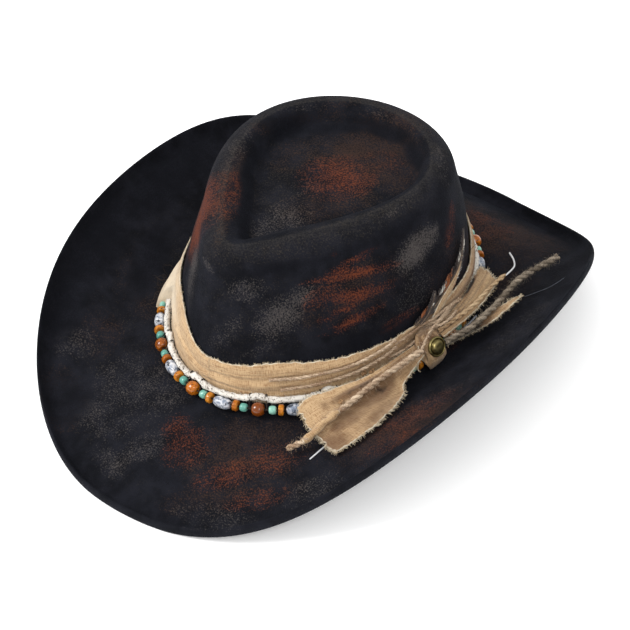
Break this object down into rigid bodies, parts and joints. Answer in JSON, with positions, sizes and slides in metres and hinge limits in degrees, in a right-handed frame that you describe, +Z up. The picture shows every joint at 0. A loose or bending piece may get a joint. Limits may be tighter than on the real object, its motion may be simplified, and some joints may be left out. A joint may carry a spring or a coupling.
{
  "type": "felt western hat with beaded cloth band",
  "caption": "Felt hat with a teardrop crown and curled, rolled-edge brim, dressed with a torn cloth band, a string of beads, jute and cloth tails, a brass button and feathers",
  "frame": {"origin": "on the floor under the middle of the brim's length and width", "axes": "+Y to the back of the hat and its longest side, +X to the wearer's left, +Z up and its shortest side"},
  "size_m": [0.3104, 0.3666, 0.1235],
  "materials": {
    "felt": "brushed black felt with rust and grey patches",
    "cloth": "torn tan cotton",
    "cream_cord": "cream fibre cord with dark ties",
    "beads": "polished wood, amber, turquoise and veined white stone",
    "jute": "twisted jute",
    "feather": "dark brown barred feather",
    "brass": "antique brass"
  },
  "bodies": {
    "root": {"felt_body": "felt", "cloth_band": "cloth", "cream_cord": "cream_cord", "bead_string": "beads", "knot_wrap": "cloth", "front_tail": "cloth", "wide_tail": "cloth", "low_tail": "cloth", "narrow_tail": "cloth", "main_feather": "feather", "small_feather": "feather", "jute_strand_upper": "jute", "jute_strand_lower": "jute", "front_jute": "jute", "rear_jute": "jute", "twisted_strip": "cloth", "concho": "brass"}
  },
  "joints": []
}
